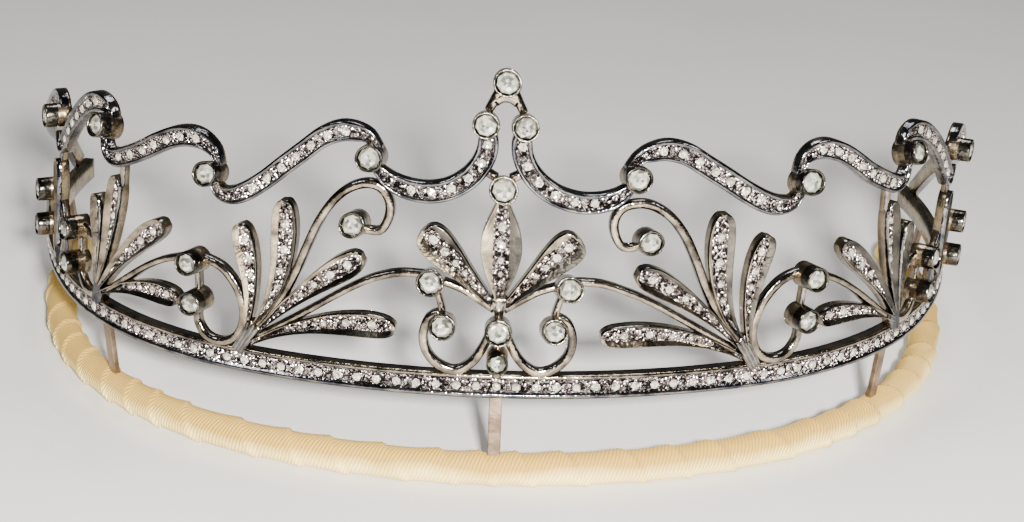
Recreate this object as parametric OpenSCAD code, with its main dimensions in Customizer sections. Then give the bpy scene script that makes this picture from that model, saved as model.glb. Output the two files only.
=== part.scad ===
// Diadem of soldered silver openwork set with rose-cut stones, standing on a ribbon-wound base ring.
// The pattern is drawn flat and bent round the head: "along" runs from the middle along the rail,
// "up" runs from an edge of the rail, and "out" runs from the rail's front to the viewer.
// Millimetres, +Z up, front toward -Y, z = 0 is the surface that the base ring rests on.

/* [Rail] */
// Radius of the rail's front arc
rail_front_r = 96; // [80:1:120]
// Heading at which the front arc ends, degrees
rail_front_end = 21; // [15:1:26]
// Radius of the rail's shoulder arcs
rail_shoulder_r = 50; // [44:1:60]
// Heading at which the shoulder arc ends, degrees
rail_shoulder_end = 63; // [56:1:70]
// Radius of the rail's side arcs
rail_side_r = 82; // [70:1:110]
// Length of the rail from the middle to each end
rail_half = 125; // [115:1:135]
// Height of the rail
rail_h = 3.3; // [2.8:0.1:4]
// Height of the rail's lower edge above the table
rail_lift = 12; // [9:0.5:15]

/* [Openwork] */
// Height of the crowning collet's middle above the rail
crest_h = 39.5; // [34:0.5:46]
// How far the openwork leans inward for each millimetre up
lean = 0.02; // [0:0.01:0.06]
// Full width of a ribbon
ribbon_w = 2.7; // [2.5:0.1:3.1]
// Full width of a leaf
leaf_w = 3; // [2.6:0.1:3.4]
// Width of a wire
wire_w = 1; // [0.8:0.05:1.2]

/* [Depths] */
// How far the rail's back lies behind its front
rail_back = 1.6; // [1.2:0.1:2.2]
// How far the rail's two rims stand out
rail_rim = 0.2; // [0.1:0.05:0.4]
// How deep the stones' bed lies in the rail
rail_bed = 0.2; // [0.1:0.05:0.4]
// How far a ribbon's back lies behind the rail's front
ribbon_back = 0.8; // [0.6:0.1:1.2]
// How far a ribbon's two rims stand out
ribbon_rim = 0.7; // [0.6:0.1:1]
// How deep the stones' bed lies below a ribbon's rims
ribbon_bed = 0.45; // [0.3:0.05:0.6]
// How far a leaf's back lies behind the rail's front
leaf_back = 0.9; // [0.7:0.1:1.4]
// How far a leaf's rim stands out
leaf_rim = 0.9; // [0.6:0.1:1.3]
// How deep the floor lies below a leaf's rim
leaf_bed = 1; // [0.6:0.1:1.2]
// How far a wire's back lies behind the rail's front
wire_back = 0.75; // [0.6:0.05:1.2]
// How far a wire stands out
wire_front = 0.4; // [0.2:0.1:0.8]
// How far a palmette's foot reaches behind the rail's front
foot_back = 1.2; // [1:0.1:1.5]
// How far a palmette's foot stands out
foot_front = 1; // [0.8:0.1:1.4]
// How far a collet's back lies behind the rail's front
collet_back = 0.85; // [0.7:0.05:1.2]
// How far a collet stands out
collet_front = 2.8; // [2.2:0.1:3.4]

/* [Base ring] */
// Diameter of the wound ring
ring_d = 4.1; // [3.6:0.1:5]
// Depth of the flat on the ring's underside
ring_flat = 0.12; // [0.05:0.01:0.3]
// Radius of the ring's front arc
ring_front_r = 82; // [75:1:90]
// Heading at which the ring's front arc ends, degrees
ring_front_end = 23; // [18:1:28]
// Radius of the ring's shoulder arcs
ring_shoulder_r = 57.5; // [52:0.5:62]
// Heading at which the ring's shoulder arc ends, degrees
ring_shoulder_end = 72; // [66:1:78]
// Radius of the ring's side arcs
ring_side_r = 92; // [80:1:110]
// Length of a turn of ribbon over a joint of the ring
lap_w = 3; // [2:0.5:5]
// Thickness of such a turn
lap_t = 0.06; // [0.04:0.01:0.12]

/* [Posts] */
// Width of a post
post_w = 1.7; // [1.4:0.1:2.2]
// Thickness of a post
post_t = 0.8; // [0.6:0.1:1.1]
// How deep a post is sunk in the base ring
post_depth = 2.4; // [1.6:0.1:2.6]
// Clearance round a sunk post
pocket_air = 0.15; // [0.1:0.05:0.25]

/* [Settings] */
// Outer diameter of a collet at its back
collet_d = 3.6; // [3.3:0.1:3.9]
// Thickness of a collet's wall at its mouth
collet_wall = 0.2; // [0.15:0.05:0.3]
// Depth of the seat in a collet
seat_depth = 0.7; // [0.5:0.05:0.9]
// Clearance round a main stone
stone_air = 0.12; // [0.1:0.02:0.2]
// Width of a rim beside the small stones of a ribbon
ribbon_rim_w = 0.5; // [0.4:0.05:0.55]
// Width of a rim beside the small stones of the rail
rail_rim_w = 0.5; // [0.3:0.05:0.6]
// Width of a leaf's rim
leaf_rim_w = 0.35; // [0.25:0.05:0.45]
// Clearance between a small stone and a ribbon's rims
pave_air = 0.25; // [0.15:0.05:0.3]
// Height of a small stone
pave_h = 0.45; // [0.35:0.05:0.6]
// Distance between neighbouring small stones
pave_pitch = 2.6; // [2.2:0.05:3]

/* [Hidden] */
// gap under every stone
air = 0.1;
// size of a rose cut's table as a share of the stone
table_share = 0.5;
// a collet narrows a little toward its mouth
collet_taper = 0.92;
collet_sides = 8;
stone_sides = 8;
rail_steps = 32;
ring_z = ring_d / 2 - ring_flat;
ring_top = ring_z + ring_d / 2;
stone_d = collet_d * collet_taper - 2 * (collet_wall + stone_air);
pave_d = ribbon_w - 2 * (ribbon_rim_w + pave_air);

// plans of rail and ring: radius, end heading, radius, end heading, radius
RAIL_PLAN = [rail_front_r, rail_front_end, rail_shoulder_r, rail_shoulder_end, rail_side_r];
RING_PLAN = [ring_front_r, ring_front_end, ring_shoulder_r, ring_shoulder_end, ring_side_r];
end_heading = heading(RAIL_PLAN, rail_half);
back_edge = max(back_reach(RAIL_PLAN, rail_rim), back_reach(RING_PLAN, ring_d / 2));
half_depth = (back_edge - collet_front) / 2;

// the drawn pattern: so many steps from the middle to the rail's end, and from the rail to the crest
steps_along = 125;
steps_up = 39.5;
step_along = rail_half / steps_along;
step_up = crest_h / steps_up;
// hand-made unevenness: columns are along, rise on the wearer's left and drop on the right
UNEVEN = [[0, 0], [8, -0.3], [16.5, -0.85], [28, 0], [39, 0.85], [50, 0.1], [60, 0], [70, -0.3], [125, -0.3]];
// columns are along, shift of the work toward the wearer's left
SWAY = [[0, 0], [20, 0], [39, 0.8], [60, 0.7], [75, 1.2], [125, 1.2]];
uneven_full_height = 25;

// ribbons: columns are along, up from the rail, share of the ribbon's width
ARM = [[2.4, 33, 0.7], [2.1, 31.4, 0.95], [2.3, 29.6, 1], [3.2, 27.7, 1], [4.7, 26, 1],
       [6.9, 24.6, 1], [9.7, 23.9, 1], [12.4, 24.1, 0.95], [14.4, 24.9, 0.8], [16.2, 26.4, 0.45]];
WAVE_2 = [[15.5, 28.6, 0.33], [16.9, 30.1, 0.6], [18.6, 30.7, 0.88], [20.7, 30.8, 1],
          [23.2, 29.9, 1], [25.7, 28.1, 1], [28.4, 26.1, 1], [31, 24.1, 1], [33.6, 22.4, 1],
          [35.8, 21.5, 0.92], [37.7, 21.6, 0.7], [38.9, 23, 0.45]];
WAVE_3 = [[38, 25.3, 0.33], [38.8, 27.1, 0.6], [40.4, 28.1, 0.88], [42.4, 28.3, 1],
          [45, 27.6, 1], [47.8, 26.1, 1], [50.7, 24.3, 1], [53.9, 22.7, 1], [56.7, 21.7, 0.92],
          [58.5, 22.1, 0.7], [59.1, 23.9, 0.45]];
WAVE_4 = [[57.1, 26.6, 0.33], [57.8, 28, 0.6], [59.5, 28.5, 0.88], [61.5, 28.2, 1],
          [63.9, 27.2, 1], [66.9, 25.2, 1], [70, 22.7, 1], [72.8, 20.2, 1], [75, 18.2, 0.92],
          [76.9, 17.5, 0.7], [77.9, 19.2, 0.45]];
WAVE_5 = [[75.4, 22.1, 0.33], [76.4, 23.5, 0.6], [78.5, 23.8, 0.88], [81.5, 22.8, 1],
          [87, 19.9, 1], [95, 15.9, 1], [104, 11.8, 1], [114, 6.9, 1], [122, 0.3, 0.8]];

// wires: columns are along, up from the rail, share of the wire's width
STEM = [[31.9, 3.7, 1], [29, 7.4, 1], [26.9, 11.4, 1], [25.2, 15.5, 1], [23.6, 18.9, 1],
        [21.6, 21.7, 1], [19.4, 23.4, 1], [17.2, 24, 1], [15.3, 23.5, 1], [14.3, 21.9, 1],
        [14.4, 19.9, 1], [15.5, 18.1, 0.9], [17.6, 18.1, 0.8]];
INNER_SCROLL = [[7.4, 8.3, 0.8], [8.9, 7.4, 0.9], [9.6, 5.2, 1], [9.2, 2.9, 1], [7.6, 1.1, 1],
                [5.4, 0.4, 1], [3.4, 1.5, 1], [2, 3.5, 1], [0.9, 6.1, 0.9]];
OUTER_SCROLL = [[40.6, 12, 0.9], [37.4, 11, 1], [35, 8.3, 1], [34, 4.8, 1], [34.9, 1.8, 1],
                [37.2, 0.4, 1], [39.6, 0.8, 1], [41, 2.7, 0.9], [41, 4.9, 0.8]];
OUTER_ARCH = [[42.2, 11.6, 0.8], [44.6, 10.9, 0.8], [47.6, 9.6, 0.8], [51, 7.5, 0.8], [54.4, 5, 0.9],
              [58.4, 2.1, 0.9]];
INNER_ARCH = [[9.6, 13.1, 0.8], [13, 12.9, 0.8], [16.6, 11.7, 0.8], [20, 9.9, 0.8], [23.6, 7.6, 0.8],
              [27.2, 5.2, 0.9], [31.6, 2.3, 0.9]];
SHORT_ARCH = [[0.6, 9.1, 1], [2.6, 10.3, 0.9], [4.9, 11.6, 0.8], [7.6, 12.5, 0.8]];
LEG = [[0.6, 38.4, 1], [1.35, 36.7, 1], [2.2, 35.1, 0.9]];
UPPER_NECK = [[8.4, 12.3, 0.8], [7.7, 10.3, 0.7], [7.2, 8.3, 0.8]];
OUTER_NECK = [[41.3, 10.9, 0.7], [40.9, 6.5, 0.7]];
TIE = [[0.9, 26.5, 0.9], [2.2, 27.2, 0.9]];
LINK = [[55.3, 18, 0.8], [55.1, 21.4, 0.8]];
SIDE_LINK = [[77.3, 14.6, 0.8], [76.8, 17.2, 0.8]];
SIDE_ARCH = [[67.8, 9, 0.8], [70.4, 8.2, 0.8], [73.1, 5.7, 0.8], [75.4, 2, 0.9]];
REAR_ARCH = [[81.4, 10, 0.8], [85.6, 9.3, 0.8], [90.6, 6.2, 0.8], [95.4, -0.3, 0.9]];
SPINE = [[0, 9.3, 1], [0, -0.3, 1]];

// feet where the stalks of a palmette run together: columns are along, up, share of the leaf's width
CENTRE_FOOT = [[0, 8.1, 0.33], [0, 9.3, 0.73], [0, 10.7, 0.87]];
FEET = [[[34.8, -0.3, 0.7], [32.3, 3.9, 0.9]],
        [[61.2, -0.3, 0.7], [60, 3.5, 0.95]],
        [[76.3, -0.3, 0.6], [76.2, 3.1, 0.75]]];

// leaves: columns are foot along and up, bend along and up, tip along and up, share of the leaf's width
LEAVES = [[0.8, 9.9, 5.2, 14.6, 9.9, 19.1, 1.4],
          [33.4, 3.1, 31.9, 9.7, 34.8, 17.7, 0.97],
          [32.6, 3.3, 27.4, 9.3, 28.4, 21.5, 1.13],
          [31.8, 3.1, 25, 10.7, 17.5, 14.5, 1.1],
          [32.6, 1.3, 24.5, 6.7, 13.2, 5.5, 1],
          [59.8, 1.3, 52, 6, 43.9, 5, 0.9],
          [59.6, 2.3, 54.8, 9, 46.6, 15.1, 1],
          [60.2, 2.7, 57.6, 8.7, 56, 19.3, 0.97],
          [60.8, 2.7, 60.2, 8.7, 61, 15.4, 0.83],
          [76.4, 2.4, 76.4, 8.5, 77.5, 15.3, 0.9]];
CENTRE_LEAF = [0, 10.1, 0, 16.7, 0, 24.5, 1.73];
// leaf outlines: columns are share of the length, share of the leaf's own width
ROUND_LEAF = [[0, 0.2], [0.42, 0.6], [0.74, 0.98], [0.88, 1], [0.97, 0.7], [1, 0.35]];
POINTED_LEAF = [[0, 0.15], [0.25, 0.65], [0.55, 1], [0.82, 0.62], [1, 0.15]];

// collets and their stones: columns are name, along, up from the rail, share of the collet's size,
// degrees that it faces up
MIDDLE_COLLETS = [["finial", 0, 39.5, 1, 14], ["centre", 0, 25.9, 1.03, 17], ["heart", 0, 6.9, 1, 12],
                  ["rail_middle", 0, 2.5, 0.8, 0]];
SIDE_COLLETS = [["pair", 2.4, 34, 0.97, 14], ["shoulder_2", 16.5, 28.1, 1, 9], ["shoulder_3", 38.9, 24.8, 0.97, 14],
                ["shoulder_4", 57.9, 26.4, 0.97, 14], ["shoulder_5", 76.4, 22, 0.95, 0], ["curl", 18.5, 19.5, 0.95, 12],
                ["arch", 8.65, 13.1, 1, 17], ["scroll", 7, 7.3, 0.97, 15], ["outer_upper", 41.3, 11.6, 0.95, 4],
                ["outer_lower", 40.7, 6, 0.95, 2], ["side_upper", 66.7, 8.9, 0.95, 3],
                ["side_lower", 66.4, 3.9, 0.95, 3], ["rear_upper", 80.4, 9.9, 0.95, 0],
                ["rear_lower", 80.3, 4.7, 0.95, 0]];
// where the outer scroll is soldered: columns are shift along, share of its height
SCROLLS = [[0, 1], [25.5, 0.78], [39.1, 0.86]];
// stones along the ribbons: columns are ribbon, shares of its length where the stones start and end
RIBBON_STONES = [[ARM, 0.105, 0.83], [WAVE_2, 0.19, 0.84], [WAVE_3, 0.2, 0.83], [WAVE_4, 0.2, 0.83]];
// bare stretch at each end of the rail
rail_end_bare = 2;
// posts, by where they stand along the rail
POSTS = [0, 60, -60, 114, -114];
// how high a post's head reaches into the rail
post_head = 1.1;

// the bent sheet: three tangent arcs from the middle outward

function arc_length(r, a) = r * a * PI / 180;
function toward(a) = [sin(a), -cos(a)];
function arc_centre(plan, n) =
    n == 0 ? [0, plan[0]]
           : arc_centre(plan, n - 1) + (plan[2 * n - 2] - plan[2 * n]) * toward(plan[2 * n - 1]);
function first_arc(plan) = arc_length(plan[0], plan[1]);
function two_arcs(plan) = first_arc(plan) + arc_length(plan[2], plan[3] - plan[1]);
function heading(plan, along) =
    along < first_arc(plan) ? along / plan[0] * 180 / PI
    : along < two_arcs(plan) ? plan[1] + (along - first_arc(plan)) / plan[2] * 180 / PI
    : plan[3] + (along - two_arcs(plan)) / plan[4] * 180 / PI;
function back_reach(plan, out) = arc_centre(plan, 2)[1] - (plan[4] + out) * cos(end_heading);
function plan_point(plan, a, out) =
    let (n = a < plan[1] ? 0 : a < plan[3] ? 1 : 2)
    arc_centre(plan, n) + (plan[2 * n] + out) * toward(a) - [0, half_depth];
function side(along) = along < 0 ? -1 : 1;
function rail_heading(along) = heading(RAIL_PLAN, abs(along));
function height_share(up) = min(1, max(0, (up - rail_h) / (uneven_full_height * step_up)));
function rise(along, up) =
    side(along) * step_up * lookup(abs(along) / step_along, UNEVEN)
    * height_share(up);
function sway(along, up) = step_along * lookup(abs(along) / step_along, SWAY) * height_share(up);
// along in millimetres, up in millimetres from the rail's lower edge
function wall(along, up, out) =
    let (p = plan_point(RAIL_PLAN, rail_heading(along), out - lean * up))
    [side(along) * p[0] + sway(along, up), p[1], rail_lift + up + rise(along, up)];
// a row of a table, its steps turned into millimetres
function laid(p) = [p[0] * step_along, rail_h + p[1] * step_up, p[2]];

// strips swept along a route on the wall

function direction(rows, i) =
    let (a = rows[max(i - 1, 0)], b = rows[min(i + 1, len(rows) - 1)], d = [b[0] - a[0], b[1] - a[1]])
    d / norm(d);
function channel(half, rim, back, front, bed) =
    let (floor_half = half - min(rim, 0.45 * half))
    [[-half, -back], [-half, front], [-floor_half, front - bed], [floor_half, front - bed],
     [half, front], [half, -back]];
function bar(half, back, front) = [[-half, -back], [-half, front], [half, front], [half, -back]];

// rows: columns are along, up, profile; hand is 1, or -1 for the mirrored half
module strip(rows, hand) {
    sides = len(rows[0][2]);
    last = len(rows) - 1;
    points = [for (i = [0:last])
        let (d = direction(rows, i))
        for (p = rows[i][2]) wall(hand * (rows[i][0] - d[1] * p[0]), rows[i][1] + d[0] * p[0], p[1])];
    skin = [for (i = [0:last - 1], k = [0:sides - 1])
        let (a = i * sides + k, b = i * sides + (k + 1) % sides)
        [a, b, b + sides, a + sides]];
    ends = [[for (k = [0:sides - 1]) sides - 1 - k], [for (k = [0:sides - 1]) last * sides + k]];
    faces = concat(skin, ends);
    polyhedron(points, hand > 0 ? faces : [for (f = faces) [for (k = [1:len(f)]) f[len(f) - k]]], 4);
}

module ribbon(route, hand) {
    strip([for (r = route) let (p = laid(r))
        [p[0], p[1], channel(p[2] * ribbon_w / 2, ribbon_rim_w, ribbon_back, ribbon_rim, ribbon_bed)]], hand);
}

module wire(route, hand) {
    strip([for (r = route) let (p = laid(r))
        [p[0], p[1], bar(p[2] * wire_w / 2, wire_back, wire_front)]], hand);
}

module foot(route, hand) {
    strip([for (r = route) let (p = laid(r))
        [p[0], p[1], bar(p[2] * leaf_w / 2, foot_back, foot_front)]], hand);
}

function moved(route, place) = [for (p = route) [p[0] + place[0], p[1] * place[1], p[2]]];

// the bent axis of a leaf, t from 0 at its foot to 1 at its tip
function leaf_axis(row, t) =
    (1 - t) * (1 - t) * [row[0], row[1]] + 2 * t * (1 - t) * [row[2], row[3]] + t * t * [row[4], row[5]];

module leaf(row, outline, hand) {
    strip([for (o = outline)
        let (axis = leaf_axis(row, o[0]), p = laid([axis[0], axis[1], row[6] * o[1]]))
        [p[0], p[1], channel(p[2] * leaf_w / 2, leaf_rim_w, leaf_back, leaf_rim, leaf_bed)]], hand);
}

module rail() {
    profile = channel(rail_h / 2, rail_rim_w, rail_back, rail_rim, rail_rim + rail_bed);
    strip([for (i = [0:rail_steps]) [rail_half * (2 * i / rail_steps - 1), rail_h / 2, profile]], 1);
}

// round settings, their local Z axis points out of the wall

module on_wall(along, up, out) {
    translate(wall(along, up, out))
        rotate([0, 0, side(along) * rail_heading(along)])
            rotate([90, 0, 0])
                children();
}

// row: a row of the tables of collets; depth is counted from the collet's mouth, round which it tips
module in_collet(row, hand, depth) {
    p = laid([row[1], row[2], row[3]]);
    on_wall(hand * p[0], p[1], collet_front) rotate([-row[4], 0, 0]) translate([0, 0, -depth]) children();
}

module collet(row, hand) {
    radius = collet_d / 2 * row[3];
    length = collet_front + collet_back;
    difference() {
        in_collet(row, hand, length) hull()
            cylinder(r1 = radius, r2 = radius * collet_taper, h = length, $fn = collet_sides);
        in_collet(row, hand, seat_depth)
            cylinder(r = radius * collet_taper - collet_wall, h = seat_depth + air, $fn = collet_sides);
    }
}

// a rose cut: eight sloping facets round a table
module cut_stone(d, h) {
    hull() cylinder(d1 = d, d2 = d * table_share, h = h, $fn = stone_sides);
}

module collet_stone(row, hand) {
    color("ivory")
        in_collet(row, hand, seat_depth - air)
            cut_stone(stone_d * row[3], seat_depth - air / 2);
}

// a post hangs from the rail and its lower end is sunk in the base ring
module post(place) {
    along = place * step_along;
    hull() {
        translate(wall(along, post_head, -rail_back / 2))
            rotate([0, 0, side(along) * rail_heading(along)])
                cube([post_w, post_t, air], center = true);
        over_ring(along, ring_top + air) block(post_w, post_t, air);
    }
    over_ring(along, ring_top - post_depth) block(post_w, post_t, post_depth + air);
}

// the place on the ring's centre line that has the same heading as the rail has at "along"
module over_ring(along, z) {
    p = plan_point(RING_PLAN, rail_heading(along), 0);
    translate([side(along) * p[0], p[1], z])
        rotate([0, 0, side(along) * rail_heading(along)])
            children();
}

module block(width, depth, height) {
    translate([-width / 2, -depth / 2, 0]) cube([width, depth, height]);
}

module openwork() {
    color("dimgray") {
        rail();
        leaf(CENTRE_LEAF, POINTED_LEAF, 1);
        wire(SPINE, 1);
        foot(CENTRE_FOOT, 1);
        for (hand = [-1, 1]) {
            for (route = [ARM, WAVE_2, WAVE_3, WAVE_4, WAVE_5]) ribbon(route, hand);
            for (route = [STEM, INNER_SCROLL, OUTER_ARCH, INNER_ARCH, SHORT_ARCH, SIDE_ARCH, REAR_ARCH])
                wire(route, hand);
            for (route = [LEG, UPPER_NECK, TIE, LINK, SIDE_LINK]) wire(route, hand);
            for (place = SCROLLS, route = [OUTER_SCROLL, OUTER_NECK]) wire(moved(route, place), hand);
            for (route = FEET) foot(route, hand);
            for (row = LEAVES) leaf(row, ROUND_LEAF, hand);
            for (row = SIDE_COLLETS) collet(row, hand);
        }
        for (row = MIDDLE_COLLETS) collet(row, 1);
        for (place = POSTS) post(place);
    }
}

// cross-section of the wound ring, flat below
module ring_section(d) {
    intersection() {
        circle(d = d, $fn = 32);
        translate([-d, -ring_z]) square(2 * d);
    }
}

// an arc of the ring, clear of the neighbouring arcs by the gap angle at each end
module ring_arc(n, from, to) {
    p = arc_centre(RING_PLAN, n) - [0, half_depth];
    gap = lap_w / 8 / RING_PLAN[2 * n] * 180 / PI;
    translate([p[0], p[1], ring_z])
        rotate([0, 0, from + gap - 90])
            rotate_extrude(angle = to - from - 2 * gap, $fn = 96)
                translate([RING_PLAN[2 * n], 0])
                    ring_section(ring_d);
}

// a turn of ribbon over the joint of two arcs
module ring_lap(a) {
    p = plan_point(RING_PLAN, a, 0);
    translate([p[0], p[1], ring_z])
        rotate([90, 0, a - 90])
            translate([0, 0, -lap_w / 2])
                linear_extrude(lap_w)
                    ring_section(ring_d + 2 * lap_t);
}

module base_ring() {
    pocket_top = ring_d;
    color("wheat") difference() {
        union() {
            ring_arc(0, -ring_front_end, ring_front_end);
            for (hand = [0, 1]) mirror([hand, 0, 0]) {
                ring_arc(1, ring_front_end, ring_shoulder_end);
                ring_arc(2, ring_shoulder_end, end_heading);
                ring_lap(ring_front_end);
                ring_lap(ring_shoulder_end);
            }
        }
        for (place = POSTS)
            over_ring(place * step_along, ring_top - post_depth - pocket_air)
                block(post_w + 2 * pocket_air, post_t + 2 * pocket_air, post_depth + pocket_top);
    }
}

module pave_stone(along, up, bed) {
    on_wall(along, up, bed + air) cut_stone(pave_d, pave_h);
}

module rail_stones() {
    count = floor((rail_half - rail_end_bare) / pave_pitch);
    color("antiquewhite")
        for (i = [-count:count]) pave_stone(i * pave_pitch, rail_h / 2, -rail_bed);
}

function path_lengths(route, i) =
    i == 0 ? 0 : path_lengths(route, i - 1)
                 + norm([route[i][0] - route[i - 1][0], route[i][1] - route[i - 1][1]]);
function on_route(route, distance, column) =
    lookup(distance, [for (i = [0:len(route) - 1]) [path_lengths(route, i), route[i][column]]]);

module ribbon_stones() {
    color("antiquewhite")
        for (row = RIBBON_STONES) {
            route = [for (p = row[0]) laid(p)];
            length = path_lengths(route, len(route) - 1);
            for (distance = [row[1] * length:pave_pitch:row[2] * length], hand = [-1, 1])
                pave_stone(hand * on_route(route, distance, 0), on_route(route, distance, 1),
                           ribbon_rim - ribbon_bed);
        }
}

openwork();
base_ring();
rail_stones();
ribbon_stones();
for (row = MIDDLE_COLLETS)
    collet_stone(row, 1);
for (row = SIDE_COLLETS, k = [0, 1])
    collet_stone(row, [1, -1][k]);
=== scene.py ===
import math
import random

import bmesh
import bpy
from mathutils import Matrix, Vector


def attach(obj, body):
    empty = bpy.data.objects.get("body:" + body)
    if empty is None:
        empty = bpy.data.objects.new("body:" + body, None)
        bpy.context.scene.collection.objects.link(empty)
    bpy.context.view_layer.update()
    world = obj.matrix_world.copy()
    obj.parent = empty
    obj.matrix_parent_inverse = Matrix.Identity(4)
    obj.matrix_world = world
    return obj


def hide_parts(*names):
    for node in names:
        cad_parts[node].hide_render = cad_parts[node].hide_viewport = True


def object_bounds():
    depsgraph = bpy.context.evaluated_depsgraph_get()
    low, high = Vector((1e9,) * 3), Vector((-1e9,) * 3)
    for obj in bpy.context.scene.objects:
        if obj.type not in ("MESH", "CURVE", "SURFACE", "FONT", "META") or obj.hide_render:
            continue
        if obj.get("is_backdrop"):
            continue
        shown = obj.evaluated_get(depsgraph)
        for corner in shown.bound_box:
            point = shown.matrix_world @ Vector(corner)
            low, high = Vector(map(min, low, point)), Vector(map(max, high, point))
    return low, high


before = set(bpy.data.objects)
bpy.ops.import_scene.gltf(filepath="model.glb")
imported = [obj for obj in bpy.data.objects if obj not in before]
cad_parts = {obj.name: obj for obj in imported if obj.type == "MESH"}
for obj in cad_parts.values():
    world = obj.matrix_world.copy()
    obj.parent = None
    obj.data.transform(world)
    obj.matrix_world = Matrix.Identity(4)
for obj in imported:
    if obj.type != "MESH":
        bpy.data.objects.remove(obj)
cad_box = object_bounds()

# Camera. It stands at the photograph's place, a little above the crest, and looks down
# at the front with the small turn and tilt of a picture taken by hand.
camera_place = Vector((-0.0031, -0.27624, 0.1219))
camera_down = math.radians(21.17)
camera_turn = math.radians(1.10)
camera_tilt = math.radians(2.28)
camera_data = bpy.data.cameras.new("camera")
camera_data.lens = 70.3
camera_data.sensor_width = 36
camera_data.clip_start = 0.01
camera = bpy.data.objects.new("camera", camera_data)
bpy.context.scene.collection.objects.link(camera)
camera.matrix_world = (
    Matrix.Translation(camera_place)
    @ Matrix.Rotation(-camera_turn, 4, "Z")
    @ Matrix.Rotation(math.pi / 2 - camera_down, 4, "X")
    @ Matrix.Rotation(camera_tilt, 4, "Z")
)
bpy.context.scene.camera = camera


# Lights. A small lamp beside the camera throws the sparkle, three soft boxes fill in, and the
# room that the polished silver mirrors is much darker than the table.
def soft_box(name, place, aim, size, watts, colour=(1, 1, 1)):
    data = bpy.data.lights.new(name, "AREA")
    data.shape = "SQUARE"
    data.size = size
    data.energy = watts
    data.color = colour
    box = bpy.data.objects.new(name, data)
    bpy.context.scene.collection.objects.link(box)
    box.location = place
    box.rotation_euler = (Vector(aim) - Vector(place)).to_track_quat("-Z", "Y").to_euler()


soft_box("left_box", (-0.45, -0.30, 0.55), (0, 0, 0.02), 0.16, 1.6)
soft_box("right_box", (0.55, -0.25, 0.45), (0, 0, 0.02), 0.14, 1.2, (1, 0.97, 0.93))
soft_box("top_box", (0.05, 0.35, 0.75), (0, 0, 0.02), 0.30, 2.8)
soft_box("lamp", (0.03, -0.32, 0.15), (0, -0.02, 0.01), 0.024, 6.2, (1, 0.97, 0.92))
room = bpy.data.worlds.new("room")
room.use_nodes = True
backdrop = room.node_tree.nodes["Background"]
backdrop.inputs["Color"].default_value = (0.31, 0.315, 0.33, 1)
backdrop.inputs["Strength"].default_value = 0.22
bpy.context.scene.world = room


# Floor. A plain pale table top, matt, a little warm and uneven in tone. It reaches three
# metres on every side, so that its edge stays out of the picture.
def new_material(name):
    material = bpy.data.materials.new(name)
    material.use_nodes = True
    return material, material.node_tree.nodes, material.node_tree.links


def clouds(material, scale, detail=2):
    """A level between 0 and 1 that drifts over the piece, as an output for other nodes."""
    nodes, links = material.node_tree.nodes, material.node_tree.links
    place = nodes.new("ShaderNodeTexCoord")
    noise = nodes.new("ShaderNodeTexNoise")
    noise.inputs["Scale"].default_value = scale
    noise.inputs["Detail"].default_value = detail
    links.new(place.outputs["Object"], noise.inputs["Vector"])
    return noise.outputs["Fac"]


def toned(material, level, low, high):
    """Turns a level into a colour. Low and high are each the level and the colour of an end."""
    nodes, links = material.node_tree.nodes, material.node_tree.links
    tone = nodes.new("ShaderNodeValToRGB")
    for end, (position, colour) in zip(tone.color_ramp.elements, (low, high)):
        end.position = position
        end.color = (*colour, 1)
    links.new(level, tone.inputs["Fac"])
    return tone.outputs["Color"]


table_radius = 3
table_finish, nodes, links = new_material("table_finish")
shader = nodes["Principled BSDF"]
shader.inputs["Roughness"].default_value = 0.65
drift = clouds(table_finish, 14, 3)
pale = toned(table_finish, drift, (0, (0.55, 0.54, 0.53)), (1, (0.65, 0.63, 0.61)))
links.new(pale, shader.inputs["Base Color"])
work = bmesh.new()
bmesh.ops.create_circle(work, cap_ends=True, radius=table_radius, segments=64)
table_mesh = bpy.data.meshes.new("table_top")
work.to_mesh(table_mesh)
work.free()
table_mesh.materials.append(table_finish)
table_top = bpy.data.objects.new("table_top", table_mesh)
bpy.context.scene.collection.objects.link(table_top)
table_top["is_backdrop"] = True

# Rail. A straight channel of silver on a gold back, bent to the head after it is made, with a
# bed for small stones between a thick black lower rim and a thinner and brighter ledge above.
# Sizes of every piece are in millimetres, and MM takes them to metres.
MM = 0.001
# the plan from the middle of the front to the rear: columns are radius, heading where it ends
rail_arcs = ((96, 21), (50, 63), (82, 360))
rail_half = 125
rail_height = 3.3
rail_lift = 12
rail_back = -1.6
rail_seam = -0.35
rail_bed = -0.2
lower_rim = 0.86
upper_ledge = 0.6
lean = 0.02
front_to_middle = 41.938
# hand-made work isn't even: columns are along, rise of the wearer's left and drop of the right
unevenness = ((0, 0), (8, -0.3), (16.5, -0.85), (28, 0), (39, 0.85), (50, 0.1), (60, 0), (70, -0.3),
              (125, -0.3))
# columns are along, how far both sides are shifted toward the wearer's left
sway = ((0, 0), (20, 0), (39, 0.8), (60, 0.7), (75, 1.2), (125, 1.2))
uneven_full_height = 25


def plan_point(arcs, heading, out):
    """The point of the plan where it faces a heading, and so far out from it."""
    centre = Vector((0, arcs[0][0]))
    for (radius, end), (next_radius, _) in zip(arcs, arcs[1:] + ((arcs[-1][0], 0),)):
        turned = math.radians(min(heading, end))
        outward = Vector((math.sin(turned), -math.cos(turned)))
        if heading <= end:
            return centre + (radius + out) * outward - Vector((0, front_to_middle))
        centre += (radius - next_radius) * outward


def heading_at(arcs, along):
    """The heading of the plan at a distance from the middle of the front."""
    start = 0
    for radius, end in arcs:
        stretch = math.radians(end - start) * radius
        if along <= stretch:
            return start + math.degrees(along / radius)
        along -= stretch
        start = end


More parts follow.
